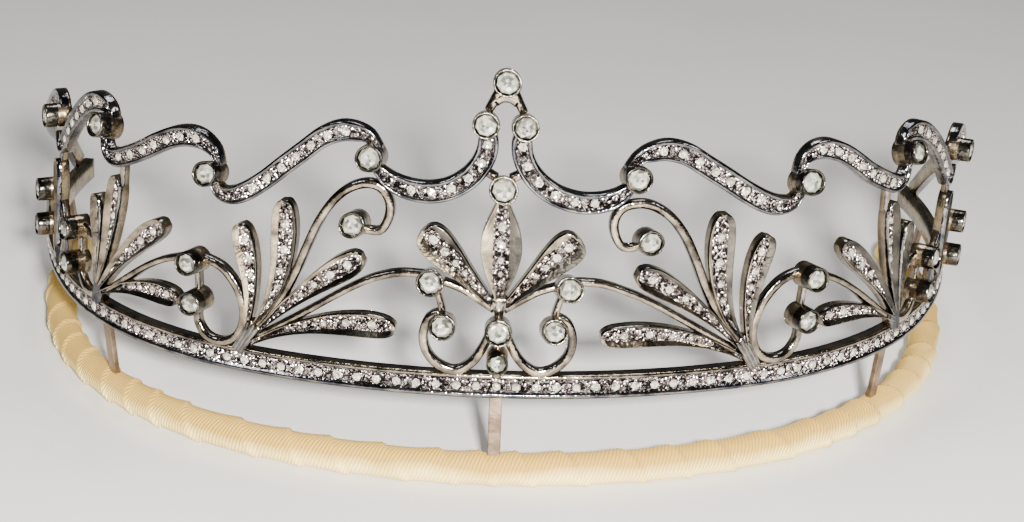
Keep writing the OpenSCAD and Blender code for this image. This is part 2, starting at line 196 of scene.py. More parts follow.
def between(table, at):
    """Reads a table of two columns, in a straight line from row to row."""
    for (x0, y0), (x1, y1) in zip(table, table[1:]):
        if x0 <= at <= x1:
            return y0 + (y1 - y0) * (at - x0) / (x1 - x0)
    return table[-1][1]


def on_wall(flat):
    """Bends a point of the flat work, along, up from the rail's lower edge and out, to the wall."""
    along, up, out = flat
    hand = -1 if along < 0 else 1
    spot = plan_point(rail_arcs, heading_at(rail_arcs, abs(along)), out - lean * up)
    share = min(1, max(0, (up - rail_height) / uneven_full_height))
    lift = rail_lift + up + hand * between(unevenness, abs(along)) * share
    return Vector((hand * spot.x + between(sway, abs(along)) * share, spot.y, lift)) * MM


def drawn_on(work, edges):
    """Extrudes a ring of edges. It gives the new vertices, the new faces and the far ring."""
    made = bmesh.ops.extrude_edge_only(work, edges=edges)["geom"]
    verts = [g for g in made if isinstance(g, bmesh.types.BMVert)]
    faces = [g for g in made if isinstance(g, bmesh.types.BMFace)]
    kept = set(verts)
    ring = [g for g in made if isinstance(g, bmesh.types.BMEdge) and kept.issuperset(g.verts)]
    return verts, faces, ring


def sweep(work, stations, outline, finishes):
    """Draws a closed outline through the stations of a route. A station is along, up and what the
    outline needs, such as its share of the width. outline(station) lists its points, across and
    out, and finishes has one material for each of its sides."""
    number = work.verts.layers.int.get("number") or work.verts.layers.int.new("number")

    def direction(i):
        before, after = stations[max(i - 1, 0)], stations[min(i + 1, len(stations) - 1)]
        return Vector((after[0] - before[0], after[1] - before[1])).normalized()

    def seat(i, across, out):
        way = direction(i)
        return Vector((stations[i][0] - way.y * across, stations[i][1] + way.x * across, out))

    ring = [work.verts.new(seat(0, *point)) for point in outline(stations[0])]
    for i, vert in enumerate(ring):
        vert[number] = i
    edges = [work.edges.new((a, b)) for a, b in zip(ring, ring[1:] + ring[:1])]
    work.faces.new(ring).material_index = finishes[0]
    for i in range(1, len(stations)):
        verts, faces, edges = drawn_on(work, edges)
        points = outline(stations[i])
        for vert in verts:
            vert.co = seat(i, *points[vert[number]])
        last = len(points) - 1
        for face in faces:
            used = sorted({vert[number] for vert in face.verts})
            side = last if used == [0, last] else used[0]
            face.material_index = finishes[side]
            face.smooth = True
    work.faces.new(sorted(verts, key=lambda vert: -vert[number])).material_index = finishes[0]


def resampled(rows, step):
    """A smooth route through the rows of a table, with a station about every step."""
    ends = [rows[0]] + list(rows) + [rows[-1]]
    route = []
    for a, b, c, d in zip(ends, ends[1:], ends[2:], ends[3:]):
        count = max(1, round(math.dist(b[:2], c[:2]) / step))
        for k in range(count):
            t = k / count
            route.append(tuple(
                q + t * (r - p + t * (2 * p - 5 * q + 4 * r - s + t * (3 * q - p - 3 * r + s))) / 2
                for p, q, r, s in zip(a, b, c, d)))
    return route + [tuple(rows[-1])]


def worn_metal(name, dark, bright, roughness):
    """Old polished metal: dark and bright by turns, rougher in some spots, and finely dented."""
    material, nodes, links = new_material(name)
    shader = nodes["Principled BSDF"]
    shader.inputs["Metallic"].default_value = 1
    wear = clouds(material, 420, 4)
    links.new(toned(material, wear, (0.35, dark), (0.72, bright)), shader.inputs["Base Color"])
    polish = nodes.new("ShaderNodeMapRange")
    polish.inputs["To Min"].default_value = roughness * 0.7
    polish.inputs["To Max"].default_value = roughness * 1.5
    links.new(wear, polish.inputs["Value"])
    links.new(polish.outputs["Result"], shader.inputs["Roughness"])
    dents = nodes.new("ShaderNodeBump")
    dents.inputs["Strength"].default_value = 0.5
    dents.inputs["Distance"].default_value = 0.00016
    links.new(clouds(material, 1500), dents.inputs["Height"])
    links.new(dents.outputs["Normal"], shader.inputs["Normal"])
    return material


def glittering(material, size, depth, dark, bright):
    """Turns a metal into a field of tiny rounded grains, each about as wide as size, coloured at
    random: the bright ones are painted glints and the dark ones the bed's dark metal."""
    nodes, links = material.node_tree.nodes, material.node_tree.links
    shader = nodes["Principled BSDF"]
    cells = nodes.new("ShaderNodeTexVoronoi")
    cells.inputs["Scale"].default_value = 1 / size
    grains = nodes.new("ShaderNodeBump")
    grains.invert = True
    grains.inputs["Strength"].default_value = 1
    grains.inputs["Distance"].default_value = depth
    chance = nodes.new("ShaderNodeSeparateColor")
    links.new(nodes["Texture Coordinate"].outputs["Object"], cells.inputs["Vector"])
    links.new(cells.outputs["Distance"], grains.inputs["Height"])
    links.new(cells.outputs["Color"], chance.inputs["Color"])
    # bright grains are painted glints on the dark metal of the bed
    shine = toned(material, chance.outputs["Red"], (0.4, dark), (0.58, bright))
    links.new(shine, shader.inputs["Base Color"])
    links.new(nodes["Bump"].outputs["Normal"], grains.inputs["Normal"])
    links.new(grains.outputs["Normal"], shader.inputs["Normal"])


black_silver = worn_metal("black_silver", (0.045, 0.047, 0.058), (0.26, 0.255, 0.25), 0.12)
warm_silver = worn_metal("warm_silver", (0.085, 0.07, 0.055), (0.56, 0.46, 0.33), 0.13)
gold_back = worn_metal("gold_back", (0.16, 0.12, 0.075), (0.50, 0.40, 0.26), 0.24)
worn_bed_painted_glints = worn_metal("worn_bed_painted_glints", (0.2, 0.2, 0.2), (0.8, 0.8, 0.8), 0.22)
# the bed keeps the worn metal's roughness and dents, and its colour becomes painted glints
glittering(worn_bed_painted_glints, 0.42 * MM, 0.5 * MM, (0.06, 0.05, 0.05), (0.78, 0.69, 0.67))
dark_silver = worn_metal("dark_silver", (0.035, 0.033, 0.03), (0.16, 0.145, 0.12), 0.16)
GOLD, SILVER, BED, WARM, DARK = 0, 1, 2, 3, 4
metals = (gold_back, black_silver, worn_bed_painted_glints, warm_silver, dark_silver)


def face_outwards(work):
    """Turns every closed shell the right way out. One that is inside out has a negative volume."""
    bmesh.ops.recalc_face_normals(work, faces=work.faces)
    left = set(work.faces)
    inside_out = []
    while left:
        shell = [left.pop()]
        for face in shell:
            for edge in face.edges:
                for other in edge.link_faces:
                    if other in left:
                        left.remove(other)
                        shell.append(other)
        start = shell[0].calc_center_median()
        volume = sum(face.normal.dot(face.calc_center_median() - start) * face.calc_area()
                     for face in shell)
        if volume < 0:
            inside_out += shell
    bmesh.ops.reverse_faces(work, faces=inside_out)


def finished(work, name, materials, flat=True):
    """Bends the flat work to the wall, turns it into a piece and lets it ride on the diadem."""
    if flat:
        for vert in work.verts:
            vert.co = on_wall(vert.co)
    face_outwards(work)
    mesh = bpy.data.meshes.new(name)
    work.to_mesh(mesh)
    work.free()
    for material in materials:
        mesh.materials.append(material)
    piece = bpy.data.objects.new(name, mesh)
    bpy.context.scene.collection.objects.link(piece)
    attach(piece, "root")
    return piece


def rail_outline(station):
    """The same at every station: the back, the lower rim, the bed and the ledge."""
    half = rail_height / 2
    return ((-half, rail_back), (-half, rail_seam), (-half + 0.14, 0.1), (-half + 0.42, 0.22),
            (-half + 0.72, 0.1), (-half + lower_rim, rail_bed), (half - upper_ledge, rail_bed),
            (half - 0.5, 0.05), (half - 0.32, 0.12), (half - 0.08, 0.05), (half, -0.1), (half, rail_back))


work = bmesh.new()
sweep(work, [(x, rail_height / 2, 1) for x in range(-rail_half, rail_half + 1)], rail_outline,
      (GOLD, SILVER, SILVER, SILVER, SILVER, BED, SILVER, SILVER, WARM, WARM, WARM, GOLD))
rail = finished(work, "rail", metals)
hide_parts("openwork")

# Ribbons. The arms and waves of the upper edge are channels like the rail, cut from sheet,
# with polished black rims round a bed of small stones and narrow tails curled to the collets.
ribbon_width = 2.7
ribbon_rim = 0.6
rim_limit = 0.45
ribbon_back = -0.8
ribbon_seam = -0.45
ribbon_bed = 0.28
ribbon_crest = 0.7
ribbon_step = 0.5
# columns are along, up from the rail's upper edge, share of the ribbon's width
ARM = ((2.4, 33, 0.7), (2.1, 31.4, 0.95), (2.3, 29.6, 1), (3.2, 27.7, 1), (4.7, 26, 1),
       (6.9, 24.6, 1), (9.7, 23.9, 1), (12.4, 24.1, 0.95), (14.4, 24.9, 0.8), (16.2, 26.4, 0.45))
WAVE_2 = ((15.5, 28.6, 0.33), (16.9, 30.1, 0.6), (18.6, 30.7, 0.88), (20.7, 30.8, 1), (23.2, 29.9, 1),
          (25.7, 28.1, 1), (28.4, 26.1, 1), (31, 24.1, 1), (33.6, 22.4, 1), (35.8, 21.5, 0.92),
          (37.7, 21.6, 0.7), (38.9, 23, 0.45))
WAVE_3 = ((38, 25.3, 0.33), (38.8, 27.1, 0.6), (40.4, 28.1, 0.88), (42.4, 28.3, 1), (45, 27.6, 1),
          (47.8, 26.1, 1), (50.7, 24.3, 1), (53.9, 22.7, 1), (56.7, 21.7, 0.92), (58.5, 22.1, 0.7),
          (59.1, 23.9, 0.45))
WAVE_4 = ((57.1, 26.6, 0.33), (57.8, 28, 0.6), (59.5, 28.5, 0.88), (61.5, 28.2, 1), (63.9, 27.2, 1),
          (66.9, 25.2, 1), (70, 22.7, 1), (72.8, 20.2, 1), (75, 18.2, 0.92), (76.9, 17.5, 0.7),
          (77.9, 19.2, 0.45))
WAVE_5 = ((75.4, 22.1, 0.33), (76.4, 23.5, 0.6), (78.5, 23.8, 0.88), (81.5, 22.8, 1), (87, 19.9, 1),
          (95, 15.9, 1), (104, 11.8, 1), (114, 6.9, 1), (122, 0.3, 0.8))


def raised(rows):
    """The tables count up from the rail's upper edge, the flat work from its lower edge."""
    return [(along, up + rail_height, share) for along, up, share in rows]


def mirrored(stations):
    """The same route on the other half, from its other end, so that its outline is mirrored too."""
    return [(-along, *rest) for along, *rest in reversed(stations)]


def ribbon_outline(station):
    half = station[2] * ribbon_width / 2
    rim = min(ribbon_rim, rim_limit * half)
    bed = half - rim
    left = ((-half, ribbon_back), (-half, ribbon_seam), (-half, 0.46), (-half + 0.12 * rim, 0.6),
            (-half + 0.4 * rim, ribbon_crest), (-half + 0.75 * rim, 0.66), (-bed - 0.05 * rim, 0.52),
            (-bed, ribbon_bed))
    return left + tuple((-across, out) for across, out in reversed(left))


work = bmesh.new()
ribbon_finishes = (GOLD,) + (SILVER,) * 6 + (BED,) + (SILVER,) * 6 + (GOLD, GOLD)
for table in (ARM, WAVE_2, WAVE_3, WAVE_4, WAVE_5):
    route = resampled(raised(table), ribbon_step)
    for stations in (route, mirrored(route)):
        sweep(work, stations, ribbon_outline, ribbon_finishes)
ribbons = finished(work, "ribbons", metals)
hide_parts("openwork")

# Wires. Stems, scrolls, arches and the short necks between collets are plain wires with backs
# and sides of dull gold, blackened shoulders and a rounded top of brighter, warmer silver.
wire_width = 1.22
wire_back = -0.75
wire_seam = -0.05
wire_crest = 0.4
wire_step = 0.5
# columns are along, up from the rail's upper edge, share of the wire's width
STEM = ((31.9, 3.7, 1), (29, 7.4, 1), (26.9, 11.4, 1), (25.2, 15.5, 1), (23.6, 18.9, 1),
        (21.6, 21.7, 1), (19.4, 23.4, 1), (17.2, 24, 1), (15.3, 23.5, 1), (14.3, 21.9, 1),
        (14.4, 19.9, 1), (15.5, 18.1, 0.9), (17.6, 18.1, 0.8))
INNER_SCROLL = ((7.4, 8.3, 0.8), (8.9, 7.4, 0.9), (9.6, 5.2, 1), (9.2, 2.9, 1), (7.6, 1.1, 1),
                (5.4, 0.4, 1), (3.4, 1.5, 1), (2, 3.5, 1), (0.9, 6.1, 0.9))
OUTER_SCROLL = ((40.6, 12, 0.9), (37.4, 11, 1), (35, 8.3, 1), (34, 4.8, 1), (34.9, 1.8, 1),
                (37.2, 0.4, 1), (39.6, 0.8, 1), (41, 2.7, 0.9), (41, 4.9, 0.8))
OUTER_ARCH = ((42.2, 11.6, 0.8), (44.6, 10.9, 0.8), (47.6, 9.6, 0.8), (51, 7.5, 0.8), (54.4, 5, 0.9),
              (58.4, 2.1, 0.9))
INNER_ARCH = ((9.6, 13.1, 0.8), (13, 12.9, 0.8), (16.6, 11.7, 0.8), (20, 9.9, 0.8), (23.6, 7.6, 0.8),
              (27.2, 5.2, 0.9), (31.6, 2.3, 0.9))
SHORT_ARCH = ((0.6, 9.1, 1), (2.6, 10.3, 0.9), (4.9, 11.6, 0.8), (7.6, 12.5, 0.8))
SIDE_ARCH = ((67.8, 9, 0.8), (70.4, 8.2, 0.8), (73.1, 5.7, 0.8), (75.4, 2, 0.9))
REAR_ARCH = ((81.4, 10, 0.8), (85.6, 9.3, 0.8), (90.6, 6.2, 0.8), (95.4, -0.3, 0.9))
LEG = ((0.6, 38.4, 1), (1.35, 36.7, 1), (2.2, 35.1, 0.9))
UPPER_NECK = ((8.4, 12.3, 0.8), (7.7, 10.3, 0.7), (7.2, 8.3, 0.8))
OUTER_NECK = ((41.3, 10.9, 0.7), (40.9, 6.5, 0.7))
TIE = ((0.9, 26.5, 0.9), (2.2, 27.2, 0.9))
LINK = ((55.3, 18, 0.8), (55.1, 21.4, 0.8))
SIDE_LINK = ((77.3, 14.6, 0.8), (76.8, 17.2, 0.8))
SPINE = ((0, 9.3, 1), (0, -0.3, 1))
YOKE = ((-1.5, 36.3, 1.2), (-0.8, 36.9, 1.3), (0, 37.1, 1.4), (0.8, 36.9, 1.3), (1.5, 36.3, 1.2))
# where the outer scroll is soldered: columns are shift along, share of its height
SCROLLS = ((0, 1), (25.5, 0.78), (39.1, 0.86))


def moved(rows, shift, height):
    """A table shifted along the rail, with its height scaled."""
    return [(along + shift, up * height, share) for along, up, share in rows]


def wire_outline(station):
    half = station[2] * wire_width / 2
    left = ((-half, wire_back), (-half, wire_seam), (-half * 0.92, 0.16), (-half * 0.6, 0.33))
    return left + ((0, wire_crest),) + tuple((-across, out) for across, out in reversed(left))


work = bmesh.new()
wire_finishes = (GOLD, SILVER, SILVER, WARM, WARM, SILVER, SILVER, GOLD, GOLD)
scrolls = [moved(table, *place) for place in SCROLLS for table in (OUTER_SCROLL, OUTER_NECK)]
for table in [STEM, INNER_SCROLL, OUTER_ARCH, INNER_ARCH, SHORT_ARCH, SIDE_ARCH, REAR_ARCH,
              LEG, UPPER_NECK, TIE, LINK, SIDE_LINK] + scrolls:
    route = resampled(raised(table), wire_step)
    for stations in (route, mirrored(route)):
        sweep(work, stations, wire_outline, wire_finishes)
for table in (SPINE, YOKE):
    sweep(work, resampled(raised(table), wire_step), wire_outline, wire_finishes)
wires = finished(work, "wires", metals)
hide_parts("openwork")

# Leaves. Each leaf of a palmette is a shallow spoon of silver: a knife-edged rim, walls that
# slope in to a floor set with small stones, and a thin stalk soldered into the palmette's foot.
# One of its walls is painted light in warm silver and the other painted shade in dark silver, so the leaves
# look lit from one side.
leaf_width = 3
leaf_back = -0.9
leaf_seam = 0.2
leaf_rim = 0.9
leaf_floor = 0.05
leaf_lip = 0.09
lip_limit = 0.4
edge_drop = 0.05
floor_share = 0.62
floor_limit = 1.05
least_floor = 0.02
deep_floor = 0.18
tip_wall = 0.4
leaf_stations = 34
tip_crowding = 0.9
outline_step = 0.02
axis_parts = 20
# columns are along and up of the stalk's end, of the bend and of the tip, share of the leaf's width
LEAVES = ((0.8, 9.9, 5.2, 14.6, 9.9, 19.1, 1.4),
          (33.4, 3.1, 31.9, 9.7, 34.8, 17.7, 0.97),
          (32.6, 3.3, 27.4, 9.3, 28.4, 21.5, 1.13),
          (31.8, 3.1, 25, 10.7, 17.5, 14.5, 1.1),
          (32.6, 1.3, 24.5, 6.7, 13.2, 5.5, 1),
          (59.8, 1.3, 52, 6, 43.9, 5, 0.9),
          (59.6, 2.3, 54.8, 9, 46.6, 15.1, 1),
          (60.2, 2.7, 57.6, 8.7, 56, 19.3, 0.97),
          (60.8, 2.7, 60.2, 8.7, 61, 15.4, 0.83),
          (76.4, 2.4, 76.4, 8.5, 77.5, 15.3, 0.9))
CENTRE_LEAF = (0, 10.1, 0, 16.7, 0, 24.5, 1.73)
# outlines of a leaf: columns are share of its length, share of its half width
ROUND_LEAF = ((0, 0.2), (0.2, 0.36), (0.42, 0.6), (0.6, 0.84), (0.74, 0.98), (0.82, 1.02), (0.9, 0.96),
              (0.955, 0.8), (0.99, 0.5), (1, 0.28))
POINTED_LEAF = ((0, 0.15), (0.14, 0.38), (0.3, 0.74), (0.46, 0.97), (0.58, 1), (0.72, 0.84), (0.86, 0.5),
                (1, 0.12))


def leaf_axis(row, t):
    """The spot at a share of a leaf's length, on the curve from its stalk by its bend to its tip."""
    return [(1 - t) ** 2 * row[k] + 2 * t * (1 - t) * row[k + 2] + t * t * row[k + 4] for k in (0, 1)]


def length_of(rows):
    return sum(math.dist(a[:2], b[:2]) for a, b in zip(rows, rows[1:]))


def leaf_route(row, outline):
    """Stations of a leaf, closer together toward its tip. The third value is the half width, and
    the fourth that of the floor, which ends before the tip."""
    inset = tip_wall / length_of([leaf_axis(row, k / axis_parts) for k in range(axis_parts + 1)])
    smooth = resampled(outline, outline_step)
    route = []
    for k in range(leaf_stations + 1):
        t = math.sin(k / leaf_stations * math.pi / 2) ** tip_crowding
        along, up = leaf_axis(row, t)
        half = between(smooth, t) * row[6] * leaf_width / 2
        ahead = between(smooth, min(1, t + inset)) * row[6] * leaf_width / 2
        floor = min(floor_limit, floor_share * min(half, ahead)) if t + inset < 1 else 0
        route.append((along, up + rail_height, half, max(floor, least_floor)))
    return route


def leaf_outline(station):
    half, floor = station[2], station[3]
    depth = (leaf_rim - leaf_floor) * min(1, floor / deep_floor)
    lip = min(leaf_lip, half * lip_limit)
    left = ((-half, leaf_back), (-half, leaf_seam), (-half, leaf_rim - edge_drop),
            (-half + lip, leaf_rim), (-floor, leaf_rim - depth))
    return left + tuple((-across, out) for across, out in reversed(left))


work = bmesh.new()
# walls: warm silver is painted light on one side and dark silver painted shade on the other, swapped on the
# mirrored leaves so the lit side stays on the same side
right_finishes = (GOLD, SILVER, DARK, DARK, BED, WARM, WARM, SILVER, GOLD, GOLD)
left_finishes = (GOLD, SILVER, WARM, WARM, BED, DARK, DARK, SILVER, GOLD, GOLD)
sweep(work, leaf_route(CENTRE_LEAF, POINTED_LEAF), leaf_outline, right_finishes)
for row in LEAVES:
    route = leaf_route(row, ROUND_LEAF)
    sweep(work, route, leaf_outline, right_finishes)
    sweep(work, mirrored(route), leaf_outline, left_finishes)
leaves = finished(work, "leaves", metals)
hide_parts("openwork")

# Palmette feet. Where the stalks of a palmette run together they are filled with solder and
# filed to one solid ribbed foot, which stands on the rail or on the heart collet.
foot_trim = 0.82
foot_back = -1.2
foot_ribs = 4
rib_crest = 0.6
rib_groove = 0.1
foot_step = 0.6
# columns are along, up from the rail's upper edge, share of a leaf's width
CENTRE_FOOT = ((0, 8.1, 0.33), (0, 9.3, 0.73), (0, 10.7, 0.87))
FEET = (((34.8, -0.3, 0.7), (32.3, 3.9, 0.9)), ((61.2, -0.3, 0.7), (60, 3.5, 0.95)),
        ((76.3, -0.3, 0.6), (76.2, 3.1, 0.75)))


def foot_outline(station):
    half = foot_trim * station[2] * leaf_width / 2
    ribs = tuple((half * (k / foot_ribs - 1), rib_crest if k % 2 else rib_groove)
                 for k in range(1, 2 * foot_ribs))
    return ((-half, foot_back), (-half, 0)) + ribs + ((half, 0), (half, foot_back))


work = bmesh.new()
foot_finishes = (GOLD,) + (WARM, SILVER) * foot_ribs + (GOLD, GOLD)
sweep(work, resampled(raised(CENTRE_FOOT), foot_step), foot_outline, foot_finishes)
for table in FEET:
    route = resampled(raised(table), foot_step)
    for stations in (route, mirrored(route)):
        sweep(work, stations, foot_outline, foot_finishes)
feet = finished(work, "feet", metals)
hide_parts("openwork")

# Collets. Short tubes rolled from sheet and soldered upright on the work, gold with a
# blackened silver mouth, whose thin edge is rubbed over the stone.
collet_width = 3.6
collet_front = 2.8
collet_sides = 28
# columns are name, along, up from the rail's upper edge, share of the collet's size, degrees
# that it faces up
COLLETS = (("finial", 0, 39.5, 1, 14), ("centre", 0, 25.9, 1.03, 17), ("heart", 0, 6.9, 1, 12),
           ("rail_middle", 0, 2.5, 0.8, 0), ("pair", 2.4, 34, 0.97, 14), ("shoulder_2", 16.5, 28.1, 1, 9),
           ("shoulder_3", 38.9, 24.8, 0.97, 14), ("shoulder_4", 57.9, 26.4, 0.97, 14),
           ("shoulder_5", 76.4, 22, 0.95, 0), ("curl", 18.5, 19.5, 0.95, 12), ("arch", 8.65, 13.1, 1, 17),
           ("scroll", 7, 7.3, 0.97, 15), ("outer_upper", 41.3, 11.6, 0.95, 4),
           ("outer_lower", 40.7, 6, 0.95, 2), ("side_upper", 66.7, 8.9, 0.95, 3),
           ("side_lower", 66.4, 3.9, 0.95, 3), ("rear_upper", 80.4, 9.9, 0.95, 0),
           ("rear_lower", 80.3, 4.7, 0.95, 0))
TUBE, MOUTH = 0, 1
# rings of a collet from its back to its seat: columns are depth, share of the radius, finish of
# the wall that leads to it
COLLET_RINGS = ((3.65, 1, TUBE), (2.6, 0.985, TUBE), (1.7, 0.975, TUBE), (0.9, 0.97, MOUTH),
                (0.2, 0.965, MOUTH), (0.05, 0.945, MOUTH), (0, 0.89, MOUTH), (0.05, 0.84, MOUTH),
                (0.25, 0.8, MOUTH), (0.7, 0.795, MOUTH))


def both_sides(along):
    """The hands of a spot, 1 for the wearer's left: only one where it is on the middle line."""
    return (1,) if along == 0 else (1, -1)


def tipped(verts, along, up, degrees):
    """Turns a collet or its stone to face up, about the middle of the collet's mouth."""
    pivot = Vector((along, up, collet_front))
    turn = Matrix.Rotation(-math.radians(degrees), 3, "X")
    for vert in verts:
        vert.co = pivot + turn @ (vert.co - pivot)


def roll_collet(work, along, up, size, tip):
    radius = collet_width / 2 * size
    depth, share, _ = COLLET_RINGS[0]
    centre = Vector((along, up, collet_front - depth))
    ring = bmesh.ops.create_circle(work, cap_ends=True, radius=share * radius, segments=collet_sides,
                                   matrix=Matrix.Translation(centre))["verts"]
    collet = list(ring)
    edges = list({edge for vert in ring for edge in vert.link_edges})
    for depth, share, finish in COLLET_RINGS[1:]:
        verts, faces, edges = drawn_on(work, edges)
        for vert in verts:
            ray = Vector((vert.co.x - along, vert.co.y - up)).normalized() * share * radius
            vert.co = Vector((along + ray.x, up + ray.y, collet_front - depth))
        for face in faces:
            face.material_index = finish
            face.smooth = True
        collet += verts
    bmesh.ops.contextual_create(work, geom=edges)["faces"][0].material_index = MOUTH
    tipped(collet, along, up, tip)


work = bmesh.new()
for name, along, up, size, tip in COLLETS:
    for hand in both_sides(along):
        roll_collet(work, hand * along, up + rail_height, size, tip)
collets = finished(work, "collets", (gold_back, dark_silver))
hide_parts("openwork")

# Posts. Five flat strips of dull brownish metal, soldered to the rail's back. Each goes down
# between two turns of the ribbon and stands in the ring.
ring_arcs = ((82, 23), (57.5, 72), (92, 360))
POSTS = (0, 60, -60, 114, -114)
post_width = 1.7
post_thickness = 0.8
post_corner = 0.12
post_head = 1.1
post_out = -0.8
post_stub = 0.1
post_depth = 2.4
ring_top = 3.98
post_metal = worn_metal("post_metal", (0.17, 0.12, 0.08), (0.38, 0.29, 0.20), 0.42)


def upright_edges(work, placed):
    """The upright edges of the post that is still a cube of height 1 at the origin."""
    return [edge for edge in work.edges if not edge.verts[0][placed]
            and abs(edge.verts[0].co.z - edge.verts[1].co.z) > 0.5]


work = bmesh.new()
placed = work.verts.layers.int.new("placed")
for along in POSTS:
    hand = -1 if along < 0 else 1
    heading = heading_at(rail_arcs, abs(along))
    foot = plan_point(ring_arcs, heading, 0)
    # the post's middle at its foot in the ring, just above the ring and at its head behind the rail
    levels = (Vector((hand * foot.x, foot.y, ring_top - post_depth)) * MM,
              Vector((hand * foot.x, foot.y, ring_top + post_stub)) * MM,
              on_wall((along, post_head, post_out)))
    cube = bmesh.ops.create_cube(work, size=1)["verts"]
    bmesh.ops.scale(work, verts=cube, vec=(post_width, post_thickness, 1))
    bmesh.ops.bevel(work, geom=upright_edges(work, placed), offset=post_corner, offset_type="OFFSET",
                    segments=2, affect="EDGES", profile=0.5, material=-1)
    bmesh.ops.subdivide_edges(work, edges=upright_edges(work, placed), cuts=1, use_grid_fill=True)
    turn = Matrix.Rotation(math.radians(hand * heading), 3, "Z")
    for vert in [vert for vert in work.verts if not vert[placed]]:
        middle = levels[round(2 * vert.co.z) + 1]
        vert.co = turn @ Vector((vert.co.x, vert.co.y, 0)) * MM + middle
        vert[placed] = 1
posts = finished(work, "posts", (post_metal,), flat=False)
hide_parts("openwork")


# Main stones. Rose cuts, flat below and domed above, with three rows of facets that rise to a
# point. They are old stones, from grey-white to cream, over a bright foil.
def stone_finish(name, deep, clear):
    """Every facet gets its own tone, a painted reflection of the foil, which is kept on the face as
    "facet"; the clouds give each stone its own tone.
    """
    material, nodes, links = new_material(name)
    shader = nodes["Principled BSDF"]
    shader.inputs["Metallic"].default_value = 0.6
    shader.inputs["Roughness"].default_value = 0.06
    shader.inputs["IOR"].default_value = 1.9
    facet = nodes.new("ShaderNodeAttribute")
    facet.attribute_name = "facet"
    blend = nodes.new("ShaderNodeMath")
    blend.operation = "MULTIPLY_ADD"
    blend.inputs[1].default_value = 0.5
    links.new(clouds(material, 500), blend.inputs[0])
    links.new(facet.outputs["Fac"], blend.inputs[2])
    tone = toned(material, blend.outputs["Value"], (0.3, deep), (0.85, clear))
    links.new(tone, shader.inputs["Base Color"])
    return material


main_stone = stone_finish("main_stone", (0.11, 0.112, 0.095), (0.66, 0.66, 0.57))
# rings of a rose cut above its base: columns are share of the half width, share of the height,
# how far it is turned from the ring below, in facets
ROSE_RINGS = ((1, 0.16, 0), (0.72, 0.46, 0.5), (0.38, 0.62, 0))
rose_point = 0.16
facet_tones = (0.01, 0.7)
rose_sides = 8
stone_width = 2.67
stone_height = 1.05
stone_seat = 2.2
dice = random.Random(7)


def cut_rose(work, along, up, seat, width, height, turn, sides):
    """A flat base, an upright girdle, two rows of facets and a third that meets in a low point.
    The new facets are dealt their tones, painted reflections, by their places, so that every run
    gives the same stones."""
    set_down = Matrix.Translation((along, up, seat)) @ Matrix.Rotation(turn, 4, "Z")
    ring = bmesh.ops.create_circle(work, cap_ends=True, radius=width / 2, segments=sides,
                                   matrix=set_down)["verts"]
    edges = list({edge for vert in ring for edge in vert.link_edges})
    for share, level, facets in ROSE_RINGS:
        verts, _, edges = drawn_on(work, edges)
        for vert in verts:
            angle = math.atan2(vert.co.y - up, vert.co.x - along) + facets * math.pi * 2 / sides
            reach = share * width / 2
            vert.co.xy = along + reach * math.cos(angle), up + reach * math.sin(angle)
            vert.co.z = seat + level * height
    top = bmesh.ops.contextual_create(work, geom=edges)["faces"]
    bmesh.ops.poke(work, faces=top, offset=rose_point * height)
    facet = work.faces.layers.float.get("facet") or work.faces.layers.float.new("facet")
    fresh = [face for face in work.faces if face[facet] == 0]
    for face in sorted(fresh, key=lambda face: [round(c, 4) for c in face.calc_center_median()]):
        face[facet] = dice.uniform(*facet_tones)


for name, along, up, size, tip in COLLETS:
    for hand in both_sides(along):
        node = f"{name}_stone" if along == 0 else f"{name}_stone_{'left' if hand > 0 else 'right'}"
        work = bmesh.new()
        cut_rose(work, hand * along, up + rail_height, stone_seat, stone_width * size,
                 stone_height * size, dice.uniform(0, math.pi), rose_sides)
        tipped(work.verts, hand * along, up + rail_height, tip)
        stone = finished(work, node.replace("stone", "rose"), (main_stone,))
        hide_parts(node)

# Small stones. Little rose cuts down the middle of the rail and of every ribbon, and four in
# each leaf that grow toward its tip, all held by grains of silver raised from the bed.
small_stone = stone_finish("small_stone", (0.26, 0.24, 0.20), (0.88, 0.83, 0.70))
small_sides = 6
small_width = 1.2
small_height = 0.45
small_pitch = 2.6
rail_seat = -0.1
rail_margin = 2
ribbon_seat = 0.35
# rows of stones: columns are the ribbon's table, shares of its length at the first and last stone
RIBBON_STONES = ((ARM, 0.105, 0.83), (WAVE_2, 0.19, 0.84), (WAVE_3, 0.2, 0.83), (WAVE_4, 0.2, 0.83))
rear_start = 0.2
rear_count = 16
# stones of a leaf: columns are share of its length, width
LEAF_STONES = ((0.86, 1.15), (0.7, 1.1), (0.55, 0.85), (0.42, 0.6))
centre_shift = -0.14
leaf_stone_limit = 1.1
leaf_stone_height = 0.5
leaf_seat = leaf_floor + 0.08


def walk(rows, distance):
    """The spot at a distance along a table's rows, and the direction there."""
    for a, b in zip(rows, rows[1:]):
        stretch = math.dist(a[:2], b[:2])
        if distance <= stretch:
            share = distance / stretch
            spot = Vector((a[0] + share * (b[0] - a[0]), a[1] + share * (b[1] - a[1])))
            return spot, (Vector(b[:2]) - Vector(a[:2])).normalized()
        distance -= stretch
    return Vector(rows[-1][:2]), Vector((1, 0))


def small_rose(work, along, up, seat):
    cut_rose(work, along, up, seat, small_width, small_height, dice.uniform(0, math.pi), small_sides)


work = bmesh.new()
rail_count = int((rail_half - rail_margin) / small_pitch)
rail_spots = [k * small_pitch for k in range(-rail_count, rail_count + 1)]
for along in rail_spots:
    small_rose(work, along, rail_height / 2, rail_seat)
rail_roses = finished(work, "rail_roses", (small_stone,))
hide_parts("rail_stones")

